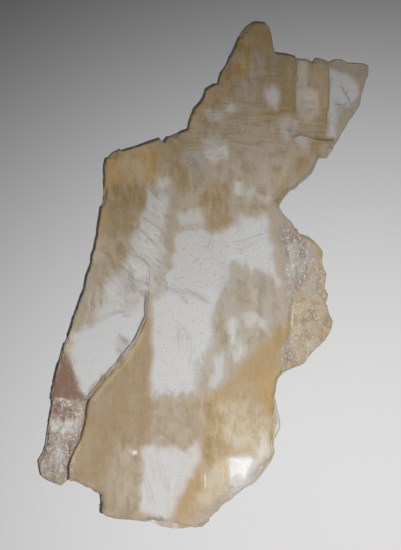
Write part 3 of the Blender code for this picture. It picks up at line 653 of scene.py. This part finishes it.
def coverage(x, y, outline, softness):
    """How far inside a pixel outline each point lies: 0 outside, 1 inside, soft between."""
    corners = np.array([plate_xy(*corner) for corner in outline])
    following = np.roll(corners, -1, 0)
    share = np.zeros(x.shape)
    close = close_to(x, y, corners, softness * PIXEL)
    x, y = x[close], y[close]
    nearest = distance_to(x, y, corners, following)
    inside = np.zeros(x.shape, bool)
    for (ax, ay), (bx, by) in zip(corners, following):
        if ay != by:
            inside ^= ((ay > y) != (by > y)) & (x < (y - ay) * (bx - ax) / (by - ay) + ax)
    signed = np.where(inside, nearest, -nearest)
    share[close] = smooth(0.5 + signed / (softness * PIXEL))
    return share


def stroke_share(x, y, points, width):
    """How much of a stroke covers each point: 1 on its line, less towards its sides and ends."""
    places = [plate_xy(*point) for point in points]
    edge = STROKE_EDGE_PX + STROKE_SOFTNESS * width
    share = np.zeros(x.shape)
    close = close_to(x, y, places, (width + edge) * PIXEL)
    x, y = x[close], y[close]
    aside = distance_to(x, y, places[:-1], places[1:]) / PIXEL
    ends = np.minimum(*[distance_to(x, y, [place], [place]) for place in (places[0], places[-1])])
    taper = smooth(STROKE_END_SHARE + ends / (STROKE_TAPER_PX * PIXEL))
    share[close] = taper * smooth(0.5 + (width / 2 - aside) / edge)
    return share


def fine_mesh(node):
    """The node's mesh, cut along a grid of planes and finer near the strokes."""
    shape = bmesh.new()
    shape.from_mesh(node.data)
    bmesh.ops.remove_doubles(shape, verts=shape.verts, dist=WELD)
    flat = math.radians(FLAT_DEG)
    bmesh.ops.dissolve_limit(shape, angle_limit=flat, verts=shape.verts, edges=shape.edges)
    for axis in (0, 1):
        across = Vector((axis == 0, axis == 1, 0))
        for plane in np.arange(CAD_BOX[0][axis] + CELL, CAD_BOX[1][axis], CELL):
            everything = [*shape.verts, *shape.edges, *shape.faces]
            bmesh.ops.bisect_plane(
                shape, geom=everything, dist=WELD, plane_co=across * plane, plane_no=across
            )
    bmesh.ops.triangulate(shape, faces=shape.faces)
    round_folds(shape)
    for _ in range(STROKE_PASSES):
        split_near_strokes(shape)
    bmesh.ops.dissolve_degenerate(shape, dist=WELD, edges=shape.edges)
    bmesh.ops.triangulate(shape, faces=shape.faces)
    for face in shape.faces:
        face.smooth = True
    mesh = bpy.data.meshes.new("selenite")
    shape.to_mesh(mesh)
    shape.free()
    mesh.validate()
    return mesh


def height_around(vert):
    """How much height the faces around a point span."""
    heights = [corner.co.z for face in vert.link_faces for corner in face.verts]
    return max(heights) - min(heights)


def round_folds(shape):
    """Rounds shallow folds and steps, at the upper points whose faces span little height."""
    upper = [vert for vert in shape.verts if vert.co.z > UNDERSIDE]
    soft = [vert for vert in upper if height_around(vert) < LOW_STEP]
    for _ in range(FOLD_PASSES):
        bmesh.ops.smooth_vert(
            shape, verts=soft, factor=FOLD_SHARE, use_axis_x=True, use_axis_y=True, use_axis_z=True
        )


def split_near_strokes(shape):
    """Halves the upper edges that lie on a stroke, so that the mesh can carry it."""
    edges = [edge for edge in shape.edges if edge.calc_length() > STROKE_CELL]
    middles = np.array([(edge.verts[0].co + edge.verts[1].co) / 2 for edge in edges])
    x, y, z = middles.T
    near = np.zeros(len(edges), bool)
    for _, width, _, points in STROKES:
        near |= stroke_share(x, y, points, width + STROKE_REACH_PX) > 0
    near &= z > UNDERSIDE
    chosen = [edge for edge, taken in zip(edges, near) if taken]
    bmesh.ops.subdivide_edges(shape, edges=chosen, cuts=1)
    bmesh.ops.triangulate(shape, faces=shape.faces)


def relief(x, y):
    """The height that each point of the upper faces gains."""
    height = layered(x, y, RELIEF)
    crumbs = layered(x, y, CRUMBS) - CRUMB_SINK
    for amount, softness, outline in ROUGH:
        height += amount * coverage(x, y, outline, softness) * crumbs
    return height


def paint(mesh):
    """Raises the relief and stores tint, clarity, frosting and the patterns' strengths."""
    count = len(mesh.vertices)
    places = np.empty(count * 3, np.float32)
    mesh.vertices.foreach_get("co", places)
    places = places.reshape(-1, 3).astype(float)
    x, y, z = places.T
    lift = relief(x, y) * smooth((z - UNDERSIDE) / RELIEF_FADE)
    places[:, 2] = np.minimum(z + lift - TOP_ROOM * (z > UNDERSIDE), CAD_BOX[1].z)
    mesh.vertices.foreach_set("co", places.astype(np.float32).ravel())

    wander_x = layered(x, y, WANDER_X)
    wander_y = layered(x, y, WANDER_Y)
    tint = np.tile(np.array(HAZE[0]), (count, 1))
    clarity = np.full(count, HAZE[1])
    frost = np.full(count, HAZE[2])

    def lay(look, share):
        colour, clear, rough = look
        tint[:] += share[:, None] * (np.array(colour) - tint)
        clarity[:] += share * (clear - clarity)
        frost[:] += share * (rough - frost)

    for look, softness, strength, outline in ZONES:
        ease = min(1.0, softness / FULL_WANDER_PX)
        soft = ZONE_SOFTNESS * softness
        lay(look, strength * coverage(x + wander_x * ease, y + wander_y * ease, outline, soft))
    for look, width, strength, points in STROKES:
        bent = STROKE_BEND * wander_x
        lay(look, strength * stroke_share(x + bent, y + bent, points, width))
    under = z < UNDERSIDE
    tint[under] = 1
    clarity[under] = 1
    frost[under] = CLEAR[2]

    colours = mesh.color_attributes.new("tint", "FLOAT_COLOR", "POINT")
    rgba = np.ones((count, 4), np.float32)
    rgba[:, :3] = tint
    colours.data.foreach_set("color", rgba.ravel())
    store(mesh, "clarity", clarity)
    store(mesh, "frost", frost)
    for name, patches in (
        ("streaked", STREAKED), ("plumed", PLUMED), ("patchy", PATCHY), ("painted_glitter_share", PAINTED_GLITTER_PATCHES),
        ("flecked", FLECKED),
    ):
        amount = np.zeros(count)
        for softness, strength, outline in patches:
            share = coverage(x + wander_x, y + wander_y, outline, softness)
            amount = np.maximum(amount, strength * share)
        amount[under] = 0
        store(mesh, name, amount)


def store(mesh, name, values):
    """Keeps one number for each vertex."""
    stored = mesh.attributes.new(name, "FLOAT", "POINT")
    stored.data.foreach_set("value", values.astype(np.float32))


class Nodes:
    """Short names for adding and linking a material's nodes."""

    def __init__(self, name):
        self.material = bpy.data.materials.new(name)
        self.material.use_nodes = True
        self.tree = self.material.node_tree
        self.tree.nodes.clear()

    def add(self, kind, **values):
        node = self.tree.nodes.new(kind)
        for name, value in values.items():
            setattr(node, name, value)
        return node

    def join(self, source, target):
        self.tree.links.new(source, target)

    def attribute(self, name, output):
        return self.add("ShaderNodeAttribute", attribute_name=name).outputs[output]

    def math(self, operation, first, second, clamp=False):
        node = self.add("ShaderNodeMath", operation=operation, use_clamp=clamp)
        for socket, value in zip(node.inputs, (first, second)):
            if isinstance(value, (int, float)):
                socket.default_value = value
            else:
                self.join(value, socket)
        return node.outputs[0]

    def total(self, *weighted):
        """The sum of (value, weight) pairs; a weight is a number or a socket."""
        parts = [self.math("MULTIPLY", value, weight) for value, weight in weighted]
        result = parts[0]
        for part in parts[1:]:
            result = self.math("ADD", result, part)
        return result

    def stretched(self, size_x, size_y, turn_deg=0.0):
        """Object coordinates in units of size_x by size_y metres, turned by an angle."""
        place = self.add("ShaderNodeTexCoord").outputs["Object"]
        mapping = self.add("ShaderNodeMapping", vector_type="TEXTURE")
        mapping.inputs["Rotation"].default_value[2] = math.radians(turn_deg)
        mapping.inputs["Scale"].default_value = (size_x, size_y, size_x)
        self.join(place, mapping.inputs["Vector"])
        return mapping.outputs[0]

    def noise(self, vector, detail=2.0, roughness=0.5, distortion=0.0, output="Fac"):
        node = self.add("ShaderNodeTexNoise")
        node.inputs["Scale"].default_value = 1.0
        node.inputs["Detail"].default_value = detail
        node.inputs["Roughness"].default_value = roughness
        node.inputs["Distortion"].default_value = distortion
        self.join(vector, node.inputs["Vector"])
        return node.outputs[output]

    def wave(self, size_x, size_y, turn_deg, detail, roughness, distortion, spread):
        """Noise that swings from -1 to 1."""
        vector = self.stretched(size_x, size_y, turn_deg)
        noise = self.noise(vector, detail, roughness, distortion)
        return self.ramp(noise, 0.5 - spread, 0.5 + spread, -1, 1)

    def ramp(self, value, low, high, to_low=0.0, to_high=1.0):
        node = self.add("ShaderNodeMapRange")
        node.inputs["From Min"].default_value = low
        node.inputs["From Max"].default_value = high
        node.inputs["To Min"].default_value = to_low
        node.inputs["To Max"].default_value = to_high
        self.join(value, node.inputs["Value"])
        return node.outputs[0]

    def multiply(self, colour, factor):
        """A colour darkened by a number."""
        node = self.add("ShaderNodeVectorMath", operation="SCALE")
        self.join(colour, node.inputs[0])
        self.join(factor, node.inputs["Scale"])
        return node.outputs[0]

    def blend(self, factor, first, second, kind="MIX"):
        """The first colour, mixed or multiplied with the second by a factor."""
        node = self.add("ShaderNodeMix", data_type="RGBA", blend_type=kind)
        sockets = (node.inputs[0], node.inputs[6], node.inputs[7])
        for socket, value in zip(sockets, (factor, first, second)):
            if isinstance(value, (int, float, tuple)):
                socket.default_value = value
            else:
                self.join(value, socket)
        return node.outputs[2]


def hairs(n):
    """Broken hair lines and specks of the clear windows, as a darkness from 0 to 1."""
    bent = n.add("ShaderNodeVectorMath", operation="ADD")
    n.join(n.stretched(*HAIR_NET), bent.inputs[0])
    n.join(n.noise(n.stretched(*HAIR_BENDS), 2, 0.6, output="Color"), bent.inputs[1])
    cells = n.add("ShaderNodeTexVoronoi", feature="DISTANCE_TO_EDGE")
    cells.inputs["Scale"].default_value = 1.0
    n.join(bent.outputs[0], cells.inputs["Vector"])
    line = n.ramp(cells.outputs["Distance"], *HAIR_WIDTH, 1, 0)
    broken = n.ramp(n.noise(n.stretched(*HAIR_BREAKS), 1), *BREAK_RANGE)
    specks = n.ramp(n.noise(n.stretched(*SPECKS), 0), *SPECK_RANGE)
    return n.math("ADD", n.math("MULTIPLY", line, broken), specks, clamp=True)


def painted_glitter(n):
    """Painted highlights of tiny facets of the rough patches, as a brightness from 0 to 1."""
    cells = n.add("ShaderNodeTexVoronoi", feature="F1")
    cells.inputs["Scale"].default_value = 1.0
    n.join(n.stretched(*GLINTS), cells.inputs["Vector"])
    split = n.add("ShaderNodeSeparateXYZ")
    n.join(cells.outputs["Color"], split.inputs[0])
    bright = n.ramp(split.outputs["X"], *GLINT_RANGE)
    clumps = n.ramp(n.noise(n.stretched(*CLUMPS), 2, 0.6), *CLUMP_RANGE)
    return n.math("MULTIPLY", bright, clumps)


def selenite_material():
    """Clear gypsum: tint, clarity and frosting from the zones, and the fine patterns from noise."""
    n = Nodes("selenite")
    shader = n.add("ShaderNodeBsdfPrincipled")
    shader.inputs["IOR"].default_value = IOR
    tint = n.attribute("tint", "Color")
    clarity = n.attribute("clarity", "Fac")
    frost = n.attribute("frost", "Fac")
    haze = n.math("SUBTRACT", 1.0, clarity, clamp=True)
    painted_sparkle = n.math("MULTIPLY", painted_glitter(n), n.attribute("painted_glitter_share", "Fac"))
    dark_hair = n.math("MULTIPLY", hairs(n), n.attribute("flecked", "Fac"))
    waves = {name: n.wave(*values) for name, values in WAVES.items()}
    patches = {name: n.attribute(name, "Fac") for name in PATTERNS}

    base = n.total(*[(waves[name], weight) for name, weight in EVERYWHERE.items()])
    share = n.math("ADD", n.math("MULTIPLY", haze, IN_HAZE), IN_CLEAR)
    patterns = n.total(*[
        (n.math("MULTIPLY", waves[wave], patches[name]), weight)
        for name, (wave, weight) in PATTERNS.items()
    ])
    swing = n.math("ADD", n.math("MULTIPLY", base, share), patterns)
    light = n.ramp(swing, 0.0, 1.0, 0.0, LIGHTEST)
    dark = n.ramp(swing, -1.0, 0.0, DARKEST, 0.0)
    colour = n.blend(dark, n.blend(light, tint, PALE), SHADE, "MULTIPLY")
    colour = n.blend(n.math("MULTIPLY", dark_hair, HAIR_DARKNESS), colour, SHADE, "MULTIPLY")
    # painted glints: bright facets of the rough patches put into the base colour
    colour = n.blend(n.math("MULTIPLY", painted_sparkle, GLINT_SHARE), colour, PAINTED_GLINT_COLOUR)
    n.join(colour, shader.inputs["Base Color"])

    milk = n.math("MULTIPLY", n.total((swing, MILK_SWING), (waves["clouds"], MILK_CLOUDS)), haze)
    passed = n.math("ADD", clarity, milk, clamp=True)
    passed = n.math("SUBTRACT", passed, n.math("MULTIPLY", dark_hair, HAIR_BLOCK), clamp=True)
    n.join(passed, shader.inputs["Transmission Weight"])
    worn = n.ramp(waves["fine"], -1, 1, -WEAR, WEAR)
    n.join(n.math("ADD", frost, worn, clamp=True), shader.inputs["Roughness"])

    crumbled = n.math("MULTIPLY", frost, frost)
    rise = n.total(
        (waves["grain"], BUMP_GRAIN),
        (waves["strands"], n.math("MULTIPLY", patches["streaked"], BUMP_STRANDS)),
        (waves["plumes"], n.math("MULTIPLY", patches["plumed"], BUMP_PLUMES)),
        (waves["fine"], n.math("MULTIPLY", crumbled, BUMP_CRUMBS)),
    )
    bump = n.add("ShaderNodeBump")
    bump.inputs["Strength"].default_value = BUMP_STRENGTH
    bump.inputs["Distance"].default_value = BUMP_HEIGHT
    n.join(rise, bump.inputs["Height"])
    n.join(bump.outputs[0], shader.inputs["Normal"])

    depth = n.add("ShaderNodeVolumeAbsorption")
    depth.inputs["Color"].default_value = HONEY
    depth.inputs["Density"].default_value = HONEY_DENSITY
    output = n.add("ShaderNodeOutputMaterial")
    n.join(let_lamp_through(n, shader, tint), output.inputs["Surface"])
    n.join(depth.outputs[0], output.inputs["Volume"])
    return n.material


def let_lamp_through(n, shader, tint):
    """The lamp's light crosses the flat faces, tinted, and stops at the steep broken rims."""
    flat = n.add("ShaderNodeSeparateXYZ")
    n.join(n.add("ShaderNodeNewGeometry").outputs["True Normal"], flat.inputs[0])
    open_face = n.ramp(n.math("ABSOLUTE", flat.outputs["Z"], 0.0), *RIM_STEEPNESS)
    passing = n.add("ShaderNodeBsdfTransparent")
    n.join(n.multiply(tint, open_face), passing.inputs["Color"])
    mix = n.add("ShaderNodeMixShader")
    n.join(n.add("ShaderNodeLightPath").outputs["Is Shadow Ray"], mix.inputs[0])
    n.join(shader.outputs[0], mix.inputs[1])
    n.join(passing.outputs[0], mix.inputs[2])
    return mix.outputs[0]


def make_plate():
    """The plate that stands for the solid: same shape, with its relief and its looks."""
    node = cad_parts["selenite_plate"]
    mesh = fine_mesh(node)
    paint(mesh)
    mesh.set_sharp_from_angle(angle=math.radians(SHARP_DEG))
    plate = bpy.data.objects.new("selenite", mesh)
    bpy.context.scene.collection.objects.link(plate)
    mesh.materials.append(selenite_material())
    plate.visible_diffuse = False
    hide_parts("selenite_plate")
    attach(plate, "root")
    return plate


def make_floor():
    """A plain pale floor, a hair under the plate."""
    bpy.ops.mesh.primitive_plane_add(size=FLOOR_SIZE, location=(0, 0, -FLOOR_DROP))
    floor = bpy.context.object
    floor.name = "floor"
    material = bpy.data.materials.new("floor")
    material.use_nodes = True
    shader = material.node_tree.nodes["Principled BSDF"]
    shader.inputs["Base Color"].default_value = FLOOR_COLOUR
    shader.inputs["Roughness"].default_value = FLOOR_ROUGHNESS
    shader.inputs["Specular IOR Level"].default_value = FLOOR_SPECULAR
    floor.data.materials.append(material)


def make_lamp():
    """The lamp that lights the plate. Its own glare isn't mirrored: the glow stands for it."""
    data = bpy.data.lights.new("lamp", "SPOT")
    data.energy = LAMP_POWER
    data.color = LAMP_COLOUR
    data.shadow_soft_size = LAMP_RADIUS
    data.spot_size = math.radians(LAMP_CONE_DEG)
    data.spot_blend = 1.0
    lamp = bpy.data.objects.new("lamp", data)
    lamp.location = (*plate_xy(*LAMP_PX), LAMP_HEIGHT)
    aim = Vector((*plate_xy(*LAMP_AIM_PX), 0)) - lamp.location
    lamp.rotation_euler = aim.to_track_quat("-Z", "Y").to_euler()
    lamp.visible_glossy = False
    lamp.visible_transmission = False
    bpy.context.scene.collection.objects.link(lamp)


def make_glow():
    """A weak round light over the place that mirrors GLOW_PX."""
    data = bpy.data.lights.new("glow", "POINT")
    data.energy = GLOW_POWER
    data.shadow_soft_size = GLOW_RADIUS
    glow = bpy.data.objects.new("glow", data)
    mirrored = Vector((*plate_xy(*GLOW_PX), 0))
    camera = Vector((*plate_xy(*PHOTO_MIDDLE_PX), 0))
    top = CAD_BOX[1].z
    share = (GLOW_HEIGHT - top) / (CAMERA_HEIGHT - top)
    glow.location = mirrored + (mirrored - camera) * share
    glow.location.z = GLOW_HEIGHT
    bpy.context.scene.collection.objects.link(glow)


def make_sky():
    """A dim, even light from all around."""
    world = bpy.data.worlds.new("sky")
    world.use_nodes = True
    world.node_tree.nodes["Background"].inputs["Color"].default_value = (*SKY, 1)
    bpy.context.scene.world = world


def make_camera():
    """Straight above the photograph's middle, with the lens that gives its scale on the floor."""
    data = bpy.data.cameras.new("camera")
    data.sensor_width = SENSOR
    data.lens = SENSOR * CAMERA_HEIGHT / (PHOTO_SIZE[1] * PIXEL)
    data.clip_start = CLIP_START
    camera = bpy.data.objects.new("camera", data)
    camera.location = (*plate_xy(*PHOTO_MIDDLE_PX), CAMERA_HEIGHT)
    bpy.context.scene.collection.objects.link(camera)
    bpy.context.scene.camera = camera


make_plate()
make_floor()
make_lamp()
make_glow()
make_sky()
make_camera()
bpy.context.scene.view_settings.view_transform = "Standard"
bpy.context.view_layer.update()
